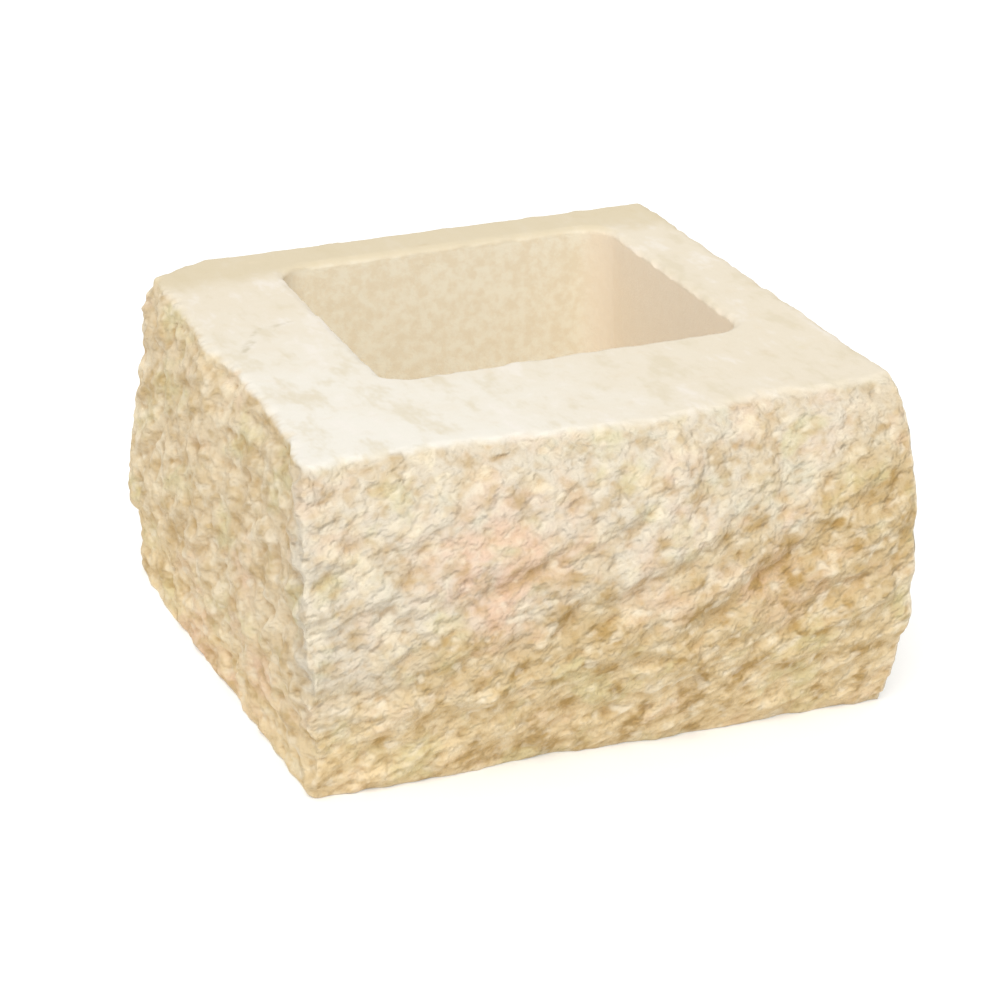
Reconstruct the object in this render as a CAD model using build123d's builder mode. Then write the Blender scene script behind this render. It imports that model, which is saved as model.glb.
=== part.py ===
from math import exp, pi, sin
from random import Random
import os

from build123d import *

# Top face of the block, in millimetres: the split faces look towards -X and -Y
length = 335
depth = 335
height = 200

# Core that runs right through, off centre, so that the webs differ
left_web = 76
right_web = 43
front_web = 94
back_web = 37
core_radius = 18
core_draft = 0.9

# Moulded edges, and the corner that broke off at the back of the left side
mould_radius = 6
arris = 1.5
chip_along_back = 40
chip_along_left = 25
chip_drop = 33

# Split faces: how far the stone swells between its head and its foot
front_belly = 35
front_corner_belly = 21
left_belly = 9
left_corner_belly = 6
corner_reach = 90

# Shape of the swell from foot to head: share of the height, then share of the swell
belly = [
    (-0.1, -0.3),
    (0, 0),
    (0.1, 0.33),
    (0.2, 0.57),
    (0.31, 0.9),
    (0.42, 1),
    (0.64, 0.98),
    (0.74, 0.9),
    (0.84, 0.72),
    (0.93, 0.45),
    (1, 0),
    (1.1, -0.6),
]
low_belly = [(0, 0), (0.18, 0.08), (0.27, 0.84), (0.37, 0.93), (0.5, 0.62), (0.65, 0.2), (0.75, 0)]

# Head and foot of the split faces, from left to right at the front and from back to front at the
# left: share of the side, then how far the edge stands out there
front_head = [(0, 9), (0.05, 1), (0.33, 7), (0.56, 16), (0.76, 3), (0.94, 8), (1, 2)]
front_foot = [(0, -8), (0.24, -5), (0.41, -7), (0.6, 0), (1, 5)]
left_head = [(0, -3), (0.33, -2), (0.45, 1), (0.58, -5), (0.75, -5), (0.88, -3), (1, 4)]
left_foot = [(0, 13), (0.3, 11), (0.46, 9), (0.55, 4.5), (0.7, 6), (1, 1)]

# Ridges that climb to the right across the front, steeper towards the right
ridge_spacing = 38
ridge_depth = 2.2
ridge_climb = (0.1, 0.67)

# Facets that the stone broke into
facet_width = 12
facet_depth = 2
edge_facet_depth = 0.5

# The raw casting is longer where it is split, and the break runs past it
edge_reach = max(out for share, out in front_head + front_foot + left_head + left_foot)
spare = front_belly + left_belly + edge_reach + ridge_depth + facet_depth
overrun = spare + facet_width


def along_line(points, share):
    """Value at a share of the way along a line of points, held past its ends."""
    for (start, first), (end, last) in zip(points, points[1:]):
        if share < end:
            return first + (last - first) * max(share - start, 0) / (end - start)
    return points[-1][1]


def break_rows(side, swell_at, head, foot, place, seed):
    """Points of a broken face, in rows from one end of a side to the other."""
    rough = Random(seed)
    steps = round((side + 2 * overrun) / facet_width)
    levels = round(height / facet_width)
    rows = []
    for step in range(steps + 1):
        along = -overrun + (side + 2 * overrun) * step / steps
        share = along / side
        row = []
        for level in range(-1, levels + 2):
            rise = level / levels
            lean = along_line(foot, share) * (1 - rise) + along_line(head, share) * rise
            reach = facet_depth if 0 < level < levels else edge_facet_depth
            out = lean + swell_at(along, rise) + rough.uniform(-reach, reach)
            row.append(place(along, out, rise * height))
        rows.append(row)
    return rows


def facets(rows):
    """Shell of triangles over rows of points."""
    faces = []
    for near, far in zip(rows, rows[1:]):
        for a, b, c, d in zip(near, near[1:], far[1:], far):
            faces.append(Face(Wire.make_polygon([a, b, c])))
            faces.append(Face(Wire.make_polygon([a, c, d])))
    return Shell(faces)


def front_ridge(along, rise):
    """Ridges of the front face, which fade out at its head and foot."""
    share = min(max(along / length, 0), 1)
    climb = ridge_climb[0] * share + (ridge_climb[1] - ridge_climb[0]) * share**2 / 2
    wave = sin(2 * pi * (rise * height - climb * length) / ridge_spacing)
    return ridge_depth * wave * max(sin(pi * rise), 0)


def front_swell(along, rise):
    """Belly and ridges of the front face: the belly is less deep towards the left corner."""
    swell = front_belly - (front_belly - front_corner_belly) * exp(-max(along, 0) / corner_reach)
    return swell * along_line(belly, rise) + front_ridge(along, rise)


def left_swell(along, rise):
    """Belly of the left face, which sags towards the back and is less deep towards the front."""
    swell = left_belly - (left_belly - left_corner_belly) * exp(-abs(depth - along) / corner_reach)
    sag = exp(-max(along, 0) / corner_reach)
    return swell * (along_line(belly, rise) * (1 - sag) + along_line(low_belly, rise) * sag)


def on_front(along, out, z):
    """Point of the front break, along it from the left: its facets then face inwards."""
    return Vector(along, -out, z)


def on_left(along, out, z):
    """Point of the left break, along it from the back, so that its facets face inwards too."""
    return Vector(-out, depth - along, z)


front_rows = break_rows(length, front_swell, front_head, front_foot, on_front, seed=3)
left_rows = break_rows(depth, left_swell, left_head, left_foot, on_left, seed=8)
front_break = facets(front_rows)
left_break = facets(left_rows)

# Casting: straight moulded sides at the right and the back, with the core through it
with BuildPart() as casting:
    with BuildSketch(Plane.XY):
        with Locations((length, depth)):
            Rectangle(length + spare, depth + spare, align=(Align.MAX, Align.MAX))
    extrude(amount=height)
    moulded_corner = casting.edges().filter_by(Axis.Z).sort_by(Axis.X)[-2:].sort_by(Axis.Y)[-1]
    fillet(moulded_corner, mould_radius)
    with BuildSketch(Plane.XY.offset(height)):
        core_length = length - left_web - right_web
        core_depth = depth - front_web - back_web
        with Locations((left_web + core_length / 2, front_web + core_depth / 2)):
            RectangleRounded(core_length, core_depth, core_radius)
    extrude(amount=-height, taper=-core_draft, mode=Mode.SUBTRACT)
    chamfer(casting.faces().sort_by(Axis.Z)[-1].edges(), arris)

    # Two sides are split off, and one corner has broken away
    split(bisect_by=front_break, keep=Keep.TOP)
    split(bisect_by=left_break, keep=Keep.TOP)
    chip_head = Vector(chip_along_back, depth, height)
    to_left = Vector(0, depth - chip_along_left, height) - chip_head
    to_drop = Vector(0, depth, height - chip_drop) - chip_head
    chip = Plane(chip_head, x_dir=to_left, z_dir=to_left.cross(to_drop))
    split(bisect_by=chip, keep=Keep.TOP)

# Block, stood on XY with the middle of its footprint at the origin
with BuildPart() as pillar_block:
    box = casting.part.bounding_box()
    with Locations((-box.center().X, -box.center().Y, 0)):
        add(casting.part)
pillar_block.part.label = "pillar_block"

os.makedirs("parts", exist_ok=True)
export_step(pillar_block.part, "parts/pillar_block.step")
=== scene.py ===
"""Split-face pillar block: one piece of pale concrete, drawn over its CAD solid."""
import math

import bpy
import numpy as np
from mathutils import Matrix, Vector


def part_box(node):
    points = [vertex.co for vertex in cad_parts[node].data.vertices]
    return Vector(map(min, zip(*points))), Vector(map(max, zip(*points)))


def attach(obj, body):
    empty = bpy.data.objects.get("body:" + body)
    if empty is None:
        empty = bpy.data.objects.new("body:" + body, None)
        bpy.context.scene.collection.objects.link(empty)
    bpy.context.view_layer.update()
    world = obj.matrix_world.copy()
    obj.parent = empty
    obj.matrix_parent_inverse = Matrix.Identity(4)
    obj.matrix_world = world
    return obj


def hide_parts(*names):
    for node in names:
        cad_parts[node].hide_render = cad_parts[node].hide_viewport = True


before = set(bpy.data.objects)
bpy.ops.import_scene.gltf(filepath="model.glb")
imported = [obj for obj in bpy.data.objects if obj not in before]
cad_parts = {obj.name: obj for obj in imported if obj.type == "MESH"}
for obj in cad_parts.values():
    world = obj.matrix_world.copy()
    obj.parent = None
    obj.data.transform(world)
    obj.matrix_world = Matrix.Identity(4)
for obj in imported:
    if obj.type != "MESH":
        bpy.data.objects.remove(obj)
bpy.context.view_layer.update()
low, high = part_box("pillar_block")

# Sizes of the block in metres
top = high.z
back_face = high.y
right_face = high.x
plan_length = 0.335
plan_depth = 0.335
core_length = 0.216
core_depth = 0.204
core_radius = 0.018
mould_radius = 0.006
web_right = 0.043
web_back = 0.037
core_middle = Vector((right_face - web_right - core_length / 2, back_face - web_back - core_depth / 2))

# Mesh: its cells and gaps in metres, its angle in degrees
voxel = 0.0012
weld_gap = 1e-5
triangles = 195000
sharp_angle = 50

# Where the relief lies: facing is a share of the normal, and the rest is in metres
facing = 0.15
rim = 0.004
wear = 0.006
full_wear = 0.001
front_fade = (0.01, 0.036)
left_fade = (0.008, 0.032)
top_fade = (top - 0.008, top - 0.001)
foot_fade = (0.005, 0.0)
fade_share = 0.85
arris_reach = (top - 0.012, top - 0.002)
top_kept_fine = 0.003
spread_kept_fine = 0.003

# Hollows: rounds of blur, and the depth in metres from a crest to a hollow of full painted shade
fine_rounds = 6
wide_rounds = 60
fine_depth = 0.0012
wide_depth = 0.006
hollow_fade = (top - 0.008, top - 0.002)

# Where one finish meets another, in metres, and the scuff on the left web
roll_over = 0.0038
ragged = 0.004
skin_edge = (0.0005, 0.002)
core_inner = 0.004
core_outer = 0.006
core_lip = (0.0005, 0.005)
back_fade = (back_face - 0.06, back_face - 0.036)
back_top = (top - 0.012, top - 0.003)
pink_patch = (-0.065, -0.175, 0.136)
white_corner = (low.x, low.y + 0.03, top)
scuff_width = 0.0036
scuff = [
    Vector((right_face - 0.318, back_face - 0.168)),
    Vector((right_face - 0.300, back_face - 0.137)),
    Vector((right_face - 0.280, back_face - 0.132)),
]

# Light and floor
floor_size = 8
floor_glow = 0.22
sky_strength = 0.66
sun_strength = 1.87
sun_width = 35
toward_sun = Vector((-0.38, -0.8, 1.12))

# Camera, as worked out from the block's corners in the photograph
picture = 1000
sensor = 36
focal_pixels = 2787
azimuth = -21.00
elevation = 23.59
roll = -0.77
aim = Vector((right_face - plan_length / 2, back_face - plan_depth / 2, top / 2))
camera_shift = Vector((-0.0024, 0.0150, -1.651))


# Mesh of the block

def only(piece):
    """Selects one object and makes it active, with all others left alone."""
    bpy.ops.object.select_all(action="DESELECT")
    piece.select_set(True)
    bpy.context.view_layer.objects.active = piece


def add_modifier(piece, kind, **settings):
    """Adds a modifier with its settings and applies it at once."""
    modifier = piece.modifiers.new(kind.title(), kind)
    for name, value in settings.items():
        setattr(modifier, name, value)
    only(piece)
    bpy.ops.object.modifier_apply(modifier=modifier.name)


def points_of(piece):
    """Vertex positions as an array of rows."""
    flat = np.empty(len(piece.data.vertices) * 3, dtype=np.float32)
    piece.data.vertices.foreach_get("co", flat)
    return flat.reshape(-1, 3)


def normals_of(piece):
    """Vertex normals as an array of rows."""
    flat = np.empty(len(piece.data.vertices) * 3, dtype=np.float32)
    piece.data.vertex_normals.foreach_get("vector", flat)
    return flat.reshape(-1, 3)


def spread(piece, values, rounds):
    """Blurs numbers or rows kept with the points: each moves halfway to its neighbours' mean."""
    mesh = piece.data
    ends = np.empty(len(mesh.edges) * 2, dtype=np.int32)
    mesh.edges.foreach_get("vertices", ends)
    a, b = ends.reshape(-1, 2).T
    count = np.maximum(np.bincount(np.concatenate([a, b]), minlength=len(mesh.vertices)), 1)
    columns = np.array(values, dtype=float).reshape(len(mesh.vertices), -1)
    for _ in range(rounds):
        for column in columns.T:
            around = np.bincount(a, column[b], len(column)) + np.bincount(b, column[a], len(column))
            column[:] = (column + around / count) / 2
    return columns.reshape(np.shape(values))


def ease(start, end, values):
    """0 before start and 1 after end, smoothly between them."""
    share = np.clip((values - start) / (end - start), 0, 1)
    return share * share * (3 - 2 * share)


def weigh(piece, name, weights, levels=40):
    """Stores weights from 0 to 1 in a vertex group, in a few levels."""
    group = piece.vertex_groups.new(name=name)
    steps = np.round(np.clip(weights, 0, 1) * levels).astype(int)
    for step in range(1, levels + 1):
        group.add(np.flatnonzero(steps == step).tolist(), step / levels, "REPLACE")


def stone_texture(name, size, detail, **settings):
    """Procedural clouds whose features are about size metres across."""
    texture = bpy.data.textures.new(name, "CLOUDS")
    texture.noise_scale = size
    texture.noise_depth = detail
    for setting, value in settings.items():
        setattr(texture, setting, value)
    return texture


def grain_direction(name, turn, stretch):
    """Empty that turns a texture about an axis and stretches it along that direction."""
    empty = bpy.data.objects.new(name, None)
    bpy.context.collection.objects.link(empty)
    empty.rotation_euler = [math.radians(angle) for angle in turn]
    empty.scale = stretch
    bpy.context.view_layer.update()
    return empty


def relief(piece, texture, group, depth, along, middle=0.5, direction=None):
    """Pushes the points of a group in and out by a texture: depth is from black to white."""
    settings = dict(texture=texture, vertex_group=group, strength=depth, mid_level=middle)
    settings["direction"] = along
    settings["texture_coords"] = "LOCAL"
    if direction:
        settings["texture_coords"] = "OBJECT"
        settings["texture_coords_object"] = direction
    add_modifier(piece, "DISPLACE", **settings)


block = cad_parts["pillar_block"].copy()
block.data = block.data.copy()
block.name = "split_face_block"
bpy.context.collection.objects.link(block)
only(block)
bpy.ops.object.mode_set(mode="EDIT")
bpy.ops.mesh.select_all(action="SELECT")
bpy.ops.mesh.remove_doubles(threshold=weld_gap)
bpy.ops.object.mode_set(mode="OBJECT")
add_modifier(block, "REMESH", mode="VOXEL", voxel_size=voxel)

# Where each point lies: on a broken face, near the front or the left, or at a broken arris
place = points_of(block)
normal = normals_of(block)
x, y, z = place.T
past_x = np.abs(x - core_middle.x) - core_length / 2 + core_radius
past_y = np.abs(y - core_middle.y) - core_depth / 2 + core_radius
from_core = np.hypot(np.maximum(past_x, 0), np.maximum(past_y, 0)) - core_radius
from_core += np.minimum(np.maximum(past_x, past_y), 0)
in_core = from_core < rim
broken = ((normal[:, 0] < -facing) | (normal[:, 1] < -facing)) & ~in_core
near_break = spread(block, broken.astype(float), 14)
behind_front = y - (back_face - plan_depth)
behind_left = x - (right_face - plan_length)
by_front = 1 - ease(*front_fade, behind_front)
by_left = 1 - ease(*left_fade, behind_left)
calm = 1 - fade_share * ease(*top_fade, z) - fade_share * ease(*foot_fade, z)
from_edge = np.minimum(np.minimum(right_face - x, back_face - y), np.abs(from_core))
kept_fine = (z > top - top_kept_fine) & (near_break > spread_kept_fine) & ~broken
weigh(block, "broken", broken.astype(float))
weigh(block, "front", by_front)
weigh(block, "left", by_left)
weigh(block, "front_fine", by_front * calm)
weigh(block, "left_fine", by_left * calm)
weigh(block, "arris", 2 * near_break * ease(*arris_reach, z))
weigh(block, "thin_out", 1.0 - kept_fine)
weigh(block, "worn", (1 - ease(full_wear, wear, from_edge)) * ease(top - wear, top - full_wear, z))

# Relief of the break, from the largest to the finest: a hard noise leaves sharp crests
slant = grain_direction("ridges_up_to_the_right", (0, -26, 0), (1.65, 1, 1.2))
level = grain_direction("ridges_up_to_the_front", (-22, 0, 0), (1, 2.8, 1.1))
swells = stone_texture("swells", 0.045, 2, noise_basis="IMPROVED_PERLIN")
ridges = stone_texture("ridges", 0.016, 2, noise_type="HARD_NOISE")
crumbs = stone_texture("crumbs", 0.0095, 2, noise_basis="IMPROVED_PERLIN")
grit = stone_texture("grit", 0.0045, 1, noise_basis="IMPROVED_PERLIN")
chips = stone_texture("chips", 0.011, 2, noise_basis="IMPROVED_PERLIN")
nicks = stone_texture("nicks", 0.017, 3, noise_basis="IMPROVED_PERLIN")
add_modifier(block, "SMOOTH", factor=0.5, iterations=10, vertex_group="broken")
for texture, share, depth, middle in (
    (swells, "", 0.003, 0.5),
    (ridges, "", 0.0042, 0.3),
    (crumbs, "_fine", 0.0072, 0.5),
    (grit, "_fine", 0.002, 0.5),
):
    relief(block, texture, "front" + share, depth, "Y", middle, slant)
    relief(block, texture, "left" + share, depth, "X", middle, level)
add_modifier(block, "SMOOTH", factor=0.5, iterations=3, vertex_group="broken")
relief(block, chips, "arris", 0.006, "Z", middle=0.66)
add_modifier(block, "SMOOTH", factor=0.5, iterations=8, vertex_group="worn")
relief(block, nicks, "worn", 0.005, "Z", middle=0.68)

# Fewer triangles but along the broken arris, with normals that follow the larger faces
faces = sum(len(face.vertices) - 2 for face in block.data.polygons)
add_modifier(block, "DECIMATE", ratio=triangles / faces, vertex_group="thin_out")
only(block)
bpy.ops.object.shade_smooth_by_angle(angle=math.radians(sharp_angle))
add_modifier(block, "WEIGHTED_NORMAL", mode="FACE_AREA", keep_sharp=True)
block.data.materials.clear()


def hollows(piece, rounds):
    """How far each point lies below its surroundings, in metres: negative on a crest."""
    start = points_of(piece).astype(float)
    return ((spread(piece, start, rounds) - start) * normals_of(piece)).sum(axis=1)


def keep_attribute(piece, name, values):
    """Stores one number for each point, for the material to read."""
    attribute = piece.data.attributes.new(name, "FLOAT", "POINT")
    attribute.data.foreach_set("value", np.asarray(values, dtype=np.float32))


# How deep each point lies in a hollow, which the material turns into painted shade in hollows and a
# painted highlight on crests
short_of_arris = 1 - ease(*hollow_fade, points_of(block)[:, 2])
fine = spread(block, hollows(block, fine_rounds), 2) * short_of_arris
wide = hollows(block, wide_rounds)
keep_attribute(block, "fine_hollow", np.clip(0.5 + fine / fine_depth, 0, 1))
keep_attribute(block, "wide_hollow", np.clip(0.5 + wide / wide_depth, 0, 1))


# Material

class Value:
    """A socket of a material; arithmetic on it adds Math nodes."""

    def __init__(self, finish, socket):
        self.finish = finish
        self.socket = socket

    def __add__(self, other):
        return self.finish.maths("ADD", self, other)

    def __sub__(self, other):
        return self.finish.maths("SUBTRACT", self, other)

    def __rsub__(self, other):
        return self.finish.maths("SUBTRACT", other, self)

    def __mul__(self, other):
        return self.finish.maths("MULTIPLY", self, other)

    def __truediv__(self, other):
        return self.finish.maths("DIVIDE", self, other)

    def __pow__(self, other):
        return self.finish.maths("POWER", self, other)

    def __abs__(self):
        return self.finish.maths("ABSOLUTE", self, 0)

    __radd__ = __add__


class Finish:
    """A material that is built up node by node."""

    def __init__(self, name):
        self.material = bpy.data.materials.new(name)
        self.material.use_nodes = True
        self.tree = self.material.node_tree
        self.tree.nodes.clear()

    def node(self, kind, settings=None, inputs=None, output=0):
        """Adds a node: its settings first, then the values or links of its sockets."""
        node = self.tree.nodes.new(kind)
        for name, value in (settings or {}).items():
            setattr(node, name, value)
        for name, value in (inputs or {}).items():
            if isinstance(value, Value):
                self.tree.links.new(value.socket, node.inputs[name])
            else:
                node.inputs[name].default_value = value
        return Value(self, node.outputs[output]) if node.outputs else None

    def maths(self, operation, first, second):
        """One Math node."""
        return self.node("ShaderNodeMath", {"operation": operation}, {0: first, 1: second})

    def mix(self, share, first, second):
        """Colour that goes from first to second as share goes from 0 to 1."""
        settings = {"data_type": "RGBA"}
        return self.node("ShaderNodeMix", settings, {0: share, 6: first, 7: second}, output=2)

    def tinted(self, under, layers):
        """Colour with tints over it in turn: a value, where it starts and is full, share, tint."""
        for value, start, full, share, tint in layers:
            under = self.mix(self.reach(value, start, full) * share, under, tint)
        return under

    def reach(self, value, start, end):
        """0 before start and 1 after end, smoothly between them: end may be the lower one."""
        inputs = {"Value": value, "From Min": start, "From Max": end}
        return self.node("ShaderNodeMapRange", {"interpolation_type": "SMOOTHSTEP"}, inputs)

    def noise(self, place, size, detail=2, roughness=0.5):
        """Noise whose features are about size metres across."""
        inputs = {"Vector": place, "Scale": 1 / size, "Detail": detail, "Roughness": roughness}
        return self.node("ShaderNodeTexNoise", None, inputs)

    def stretched(self, place, turn, scale):
        """Place turned by three angles in degrees, and then scaled along the turned axes."""
        turn = [math.radians(angle) for angle in turn]
        turned = self.node("ShaderNodeMapping", None, {"Vector": place, "Rotation": turn})
        return self.node("ShaderNodeMapping", None, {"Vector": turned, "Scale": scale})

    def attribute(self, name):
        """Number stored with the mesh's points."""
        return self.node("ShaderNodeAttribute", {"attribute_name": name}, output="Fac")

    def parts(self, place):
        """The three coordinates of a place."""
        node = self.node("ShaderNodeSeparateXYZ", None, {"Vector": place}).socket.node
        return [Value(self, socket) for socket in node.outputs]

    def distance(self, place, other):
        """How far a place is from another one."""
        inputs = {0: place, 1: other}
        return self.node("ShaderNodeVectorMath", {"operation": "DISTANCE"}, inputs, output="Value")

    def stroke(self, across, along, start, end, width):
        """1 on the line between two points of a level face, and 0 beyond its width."""
        run = end - start
        way = ((across - start.x) * run.x + (along - start.y) * run.y) / run.length_squared
        way = self.maths("MINIMUM", self.maths("MAXIMUM", way, 0), 1)
        off_across = across - start.x - way * run.x
        off_along = along - start.y - way * run.y
        return self.reach((off_across ** 2 + off_along ** 2) ** 0.5, width, 0)


def colour(red, green, blue):
    """Colour given as it shows on a screen, from 0 to 255."""
    shares = [value / 255 for value in (red, green, blue)]
    linear = [s / 12.92 if s <= 0.04045 else ((s + 0.055) / 1.055) ** 2.4 for s in shares]
    return (*linear, 1)


# Colours of the stone's inside
ochre_high = colour(206, 183, 142)
ochre_low = colour(236, 213, 171)
pale_stone = colour(219, 208, 188)
straw = colour(240, 221, 189)
tan = colour(208, 178, 124)
grey_green = colour(214, 211, 186)
olive = colour(208, 200, 148)
rose = colour(228, 196, 164)
pink_stone = colour(232, 194, 168)
# Painted shade of small pits
pit_shade_brown = colour(184, 152, 98)
stroke_brown = colour(178, 144, 84)
stroke_cream = colour(244, 230, 200)
fleck_brown = colour(188, 158, 102)
fleck_cream = colour(242, 230, 206)
grain_brown = colour(188, 162, 116)
# Painted shade for the hollows and a painted highlight for the crests
hollow_shade_brown = colour(172, 134, 78)
crest_highlight_cream = colour(244, 233, 210)
deep_hollow_shade = colour(196, 158, 100)

# Colours of the moulded skin
skin_white = colour(236, 231, 219)
skin_warm = colour(230, 219, 198)
mottle_dark = colour(219, 207, 180)
mottle_light = colour(240, 233, 223)
back_painted_shade = colour(214, 199, 166)
# The core's walls are painted lighter than the outer skin: painted light in the shaded core, more on its
# right wall, and painted shade in its corners
core_dark = colour(239, 226, 200)
core_light = colour(246, 238, 217)
core_right_lit = colour(255, 239, 219)
corner_shade = colour(228, 211, 182)
scuff_grey = colour(202, 192, 168)

concrete = Finish("sandstone_concrete")
spot = concrete.node("ShaderNodeTexCoord", output="Object")
across, depth_in, height = concrete.parts(spot)
fine_hollow = concrete.attribute("fine_hollow")
wide_hollow = concrete.attribute("wide_hollow")
along_left = concrete.stretched(spot, (22, 0, 0), (1, 0.36, 1))
turned = concrete.stretched(spot, (22, 26, 0), (0.7, 0.33, 0.86))

# Where the stone shows its inside: below the top, short of the moulded sides, outside the core
edge_noise = concrete.noise(spot, 0.011, detail=3)
split = concrete.reach(top - height + (edge_noise - 0.5) * ragged, 0.0, roll_over)
past_right = concrete.maths("MAXIMUM", across - (right_face - mould_radius), 0)
past_back = concrete.maths("MAXIMUM", depth_in - (back_face - mould_radius), 0)
behind_skin = mould_radius - (past_right ** 2 + past_back ** 2) ** 0.5
split *= concrete.reach(behind_skin, *skin_edge)
core_across = abs(across - core_middle.x) - core_length / 2
core_along = abs(depth_in - core_middle.y) - core_depth / 2
beyond_core = concrete.maths("MAXIMUM", core_across, core_along)
split *= concrete.reach(beyond_core, core_inner, core_outer)
inside_core = concrete.reach(beyond_core, core_outer, core_inner)
inside_core *= concrete.reach(top - height, *core_lip)

# Noises of the stone's inside, from the largest to the finest
large = concrete.noise(along_left, 0.07, detail=4, roughness=0.55)
drift = concrete.noise(along_left, 0.03, detail=3, roughness=0.6)
tints = concrete.noise(turned, 0.026, detail=3, roughness=0.6)
clouds = concrete.noise(turned, 0.018, detail=3, roughness=0.6)
strokes = concrete.noise(turned, 0.0105, detail=3, roughness=0.5)
# Spots of painted shade where small pits would lie, with no hole in the mesh
pit_shade_spots = concrete.noise(along_left, 0.009, detail=1, roughness=0.5)
flecks = concrete.noise(turned, 0.0062, detail=1, roughness=0.5)
grains = concrete.noise(spot, 0.0024, detail=1, roughness=0.5)

# Inside of the stone: pale above a line that rises to the right, ochre below and at the left
above = height - (across - low.x) * 0.36 + (large - 0.5) * 0.14 + (drift - 0.5) * 0.1
at_front = concrete.reach(depth_in, -0.125, -0.16)
pale = concrete.reach(above, 0.025, 0.09) * (at_front * 0.75 + 0.25)
lighter_left = (0.5 - at_front * 0.5) * concrete.reach(height, 0.02, 0.1)
ochre = concrete.mix(concrete.reach(height, 0.1, 0.03), ochre_high, ochre_low)
buff = concrete.mix(pale, ochre, pale_stone)
buff = concrete.mix(lighter_left, buff, straw)
from_pink = concrete.distance(spot, pink_patch) + (drift - 0.5) * 0.09
elsewhere = concrete.reach(large, 0.56, 0.68) * (0.9 - at_front * 0.4)
pink = concrete.maths("MAXIMUM", concrete.reach(from_pink, 0.055, 0.015), elsewhere)
buff = concrete.tinted(buff, (
    (clouds, 0.5, 0.68, 0.4, tan),
    (drift, 0.55, 0.7, pale * 0.4, grey_green),
    (tints, 0.46, 0.32, 0.45, olive),
    (tints, 0.54, 0.68, 0.42, rose),
    (clouds, 0.3, 0.55, pink * 0.65, pink_stone),
    (pit_shade_spots, 0.55, 0.75, 0.28, pit_shade_brown),
    (strokes, 0.52, 0.68, 0.5 + at_front * 0.3 - pale * 0.4, stroke_brown),
    (strokes, 0.47, 0.3, 0.55, stroke_cream),
    (flecks, 0.56, 0.74, 0.5 - pale * 0.2, fleck_brown),
    (flecks, 0.44, 0.26, 0.5, fleck_cream),
    (grains, 0.5, 0.75, 0.08, grain_brown),
    # Painted shade in the fine and wide hollows and a painted highlight on the crests
    (fine_hollow, 0.5, 1.0, 0.6 - pale * 0.15, hollow_shade_brown),
    (fine_hollow, 0.5, 0.0, 0.4, crest_highlight_cream),
    (wide_hollow, 0.5, 1.0, 0.4, deep_hollow_shade),
))

# Moulded skin of the top and sides: whitest at the front left and warmer away from it, with painted
# shade over the top of the back web
skin_noise = concrete.noise(spot, 0.035, detail=4, roughness=0.6)
trowelled = concrete.stretched(spot, (0, 0, 0), (1, 0.45, 1))
mottle = concrete.noise(trowelled, 0.016, detail=3, roughness=0.6)
from_corner = concrete.distance(spot, white_corner) + (skin_noise - 0.5) * 0.2
skin = concrete.mix(concrete.reach(from_corner, 0.05, 0.3), skin_white, skin_warm)
skin = concrete.tinted(skin, (
    (mottle, 0.5, 0.7, 0.6, mottle_dark),
    (mottle, 0.47, 0.28, 0.6, mottle_light),
))
# Painted shade over the top of the back web and the core's back rim
at_back = concrete.reach(depth_in + (skin_noise - 0.5) * 0.03, *back_fade)
at_back *= concrete.reach(height, *back_top)
skin = concrete.mix(at_back * 0.7, skin, back_painted_shade)

# Scuff on the left web, which wanders and breaks off in places
wander = across + (concrete.noise(spot, 0.008, detail=3) - 0.5) * 0.008
marks = [concrete.stroke(wander, depth_in, a, b, scuff_width) for a, b in zip(scuff, scuff[1:])]
scratch = concrete.maths("MAXIMUM", *marks) * concrete.reach(skin_noise + edge_noise * 0.5, 0.65, 0.85)
skin = concrete.mix(scratch * 0.75, skin, scuff_grey)

# Walls of the core: grainy, with painted light over all of them and more on the right one, and painted
# shade in the corners
core_grain = concrete.noise(spot, 0.0062, detail=2, roughness=0.6)
core_skin = concrete.mix(concrete.reach(core_grain, 0.3, 0.7), core_dark, core_light)
right_wall = concrete.reach(across - core_middle.x, core_length / 2 - 0.02, core_length / 2)
core_skin = concrete.mix(right_wall * 0.8, core_skin, core_right_lit)
core_corner = concrete.maths("MINIMUM", core_across, core_along)
core_corner = concrete.reach(core_corner, -core_radius, core_radius / -3)
core_skin = concrete.mix(core_corner * 0.3, core_skin, corner_shade)
skin = concrete.mix(inside_core, skin, core_skin)
shade = concrete.mix(split, skin, buff)

# Crinkles that are finer than the mesh, and the grain of the moulded skin, in metres
folds = concrete.noise(turned, 0.0062, detail=2, roughness=0.5)
wrinkles = concrete.noise(turned, 0.0034, detail=1, roughness=0.5)
grain = concrete.noise(spot, 0.0013, detail=2, roughness=0.6)
pits = concrete.noise(spot, 0.004, detail=4, roughness=0.65)
fold_height = 0.0052 + at_front * (0.0036 - pale * 0.0014)
coarse = (folds - 0.5) * fold_height + (wrinkles - 0.5) * 0.0012
smooth = (grain - 0.5) * 0.0002 + (pits - 0.5) * 0.00025
relief_height = smooth + (coarse - smooth) * split
bump = concrete.node("ShaderNodeBump", None, {"Height": relief_height, "Distance": 1.0, "Strength": 0.8})
surface = concrete.node(
    "ShaderNodeBsdfPrincipled",
    None,
    {"Base Color": shade, "Roughness": 0.92, "Specular IOR Level": 0.2, "Normal": bump},
)
concrete.node("ShaderNodeOutputMaterial", None, {"Surface": surface})
block.data.materials.append(concrete.material)

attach(block, "root")
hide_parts("pillar_block")


# Floor, light and camera

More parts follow.
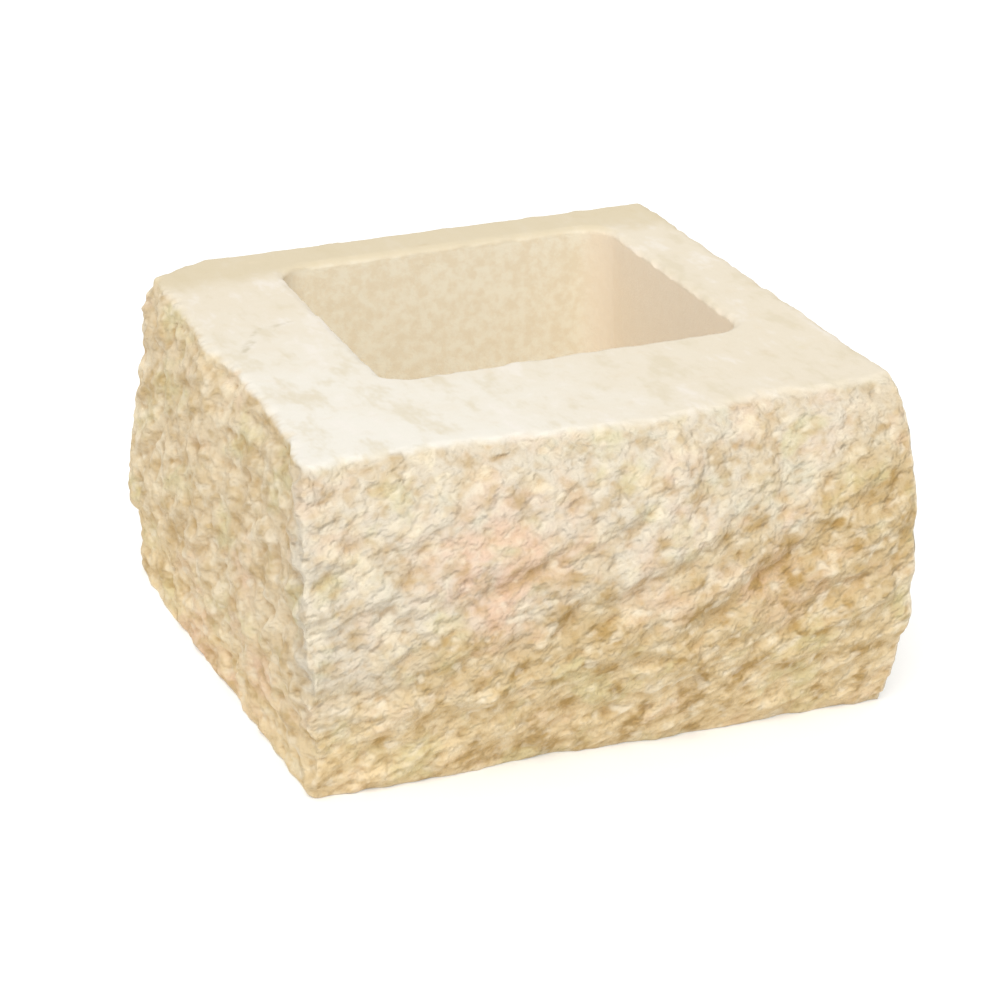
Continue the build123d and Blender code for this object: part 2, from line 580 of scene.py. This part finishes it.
bpy.ops.mesh.primitive_plane_add(size=floor_size)
floor = bpy.context.object
floor.name = "floor"
paint = Finish("floor_white")
seen = paint.node("ShaderNodeLightPath", output="Is Camera Ray")
mirrored = paint.node("ShaderNodeLightPath", output="Is Glossy Ray")
through = paint.node("ShaderNodeLightPath", output="Is Transmission Ray")
plain = paint.node("ShaderNodeBsdfDiffuse", None, {"Color": (0.85, 0.85, 0.84, 1)})
white = paint.node("ShaderNodeEmission", None, {"Color": (1, 1, 1, 1), "Strength": floor_glow})
lit = paint.node("ShaderNodeAddShader", None, {0: plain, 1: white})
shown = paint.maths("MINIMUM", seen + mirrored + through, 1)
ground = paint.node("ShaderNodeMixShader", None, {0: shown, 1: plain, 2: lit})
paint.node("ShaderNodeOutputMaterial", None, {"Surface": ground})
floor.data.materials.append(paint.material)

sky = bpy.data.worlds.new("studio")
sky.use_nodes = True
sky.node_tree.nodes["Background"].inputs["Color"].default_value = (1, 1, 1, 1)
sky.node_tree.nodes["Background"].inputs["Strength"].default_value = sky_strength
bpy.context.scene.world = sky

lamp = bpy.data.lights.new("key", "SUN")
lamp.energy = sun_strength
lamp.angle = math.radians(sun_width)
key = bpy.data.objects.new("key", lamp)
bpy.context.collection.objects.link(key)
key.rotation_mode = "QUATERNION"
key.rotation_quaternion = (-toward_sun).to_track_quat("-Z", "Y")

turn, lift, tilt = (math.radians(angle) for angle in (azimuth, elevation, roll))
back = Vector((math.sin(turn) * math.cos(lift), -math.cos(turn) * math.cos(lift), math.sin(lift)))
right = Vector((0, 0, 1)).cross(back).normalized()
up = back.cross(right)
axes = Matrix((
    right * math.cos(tilt) + up * math.sin(tilt),
    up * math.cos(tilt) - right * math.sin(tilt),
    back,
))
from_view = axes.transposed()
lens = bpy.data.cameras.new("photo_view")
lens.sensor_width = sensor
lens.lens = focal_pixels / picture * lens.sensor_width
lens.clip_end = 50
camera = bpy.data.objects.new("photo_view", lens)
bpy.context.collection.objects.link(camera)
camera.matrix_world = Matrix.Translation(aim - from_view @ camera_shift) @ from_view.to_4x4()
bpy.context.scene.camera = camera
bpy.context.scene.view_settings.view_transform = "Standard"
